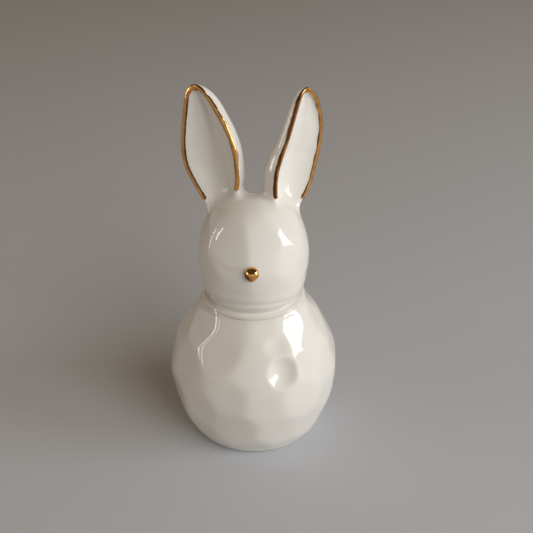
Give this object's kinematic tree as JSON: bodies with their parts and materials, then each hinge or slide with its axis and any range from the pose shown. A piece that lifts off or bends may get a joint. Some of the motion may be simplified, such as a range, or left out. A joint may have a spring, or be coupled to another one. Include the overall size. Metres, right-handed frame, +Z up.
{
  "type": "ceramic rabbit figurine",
  "caption": "Standing ceramic rabbit with a round hand-pressed body, full-cheeked head and upright scooped ears, rims and nose lined with gold lustre.",
  "frame": {"origin": "on the ground, under the middle of the foot ring", "axes": "+Z up along the figurine, -Y the way the rabbit looks, +X towards its own left ear"},
  "size_m": [0.0656, 0.0658, 0.1413],
  "materials": {
    "ivory_glaze": "gloss",
    "gold_lustre": "polished"
  },
  "bodies": {
    "root": {"body_shell": "ivory_glaze", "neck_collar": "ivory_glaze", "head_shell": "ivory_glaze", "right_ear": "ivory_glaze", "left_ear": "ivory_glaze", "nose_bead": "ivory_glaze", "right_ear_gilding": "gold_lustre", "left_ear_gilding": "gold_lustre", "nose_gilding": "gold_lustre"}
  },
  "joints": []
}
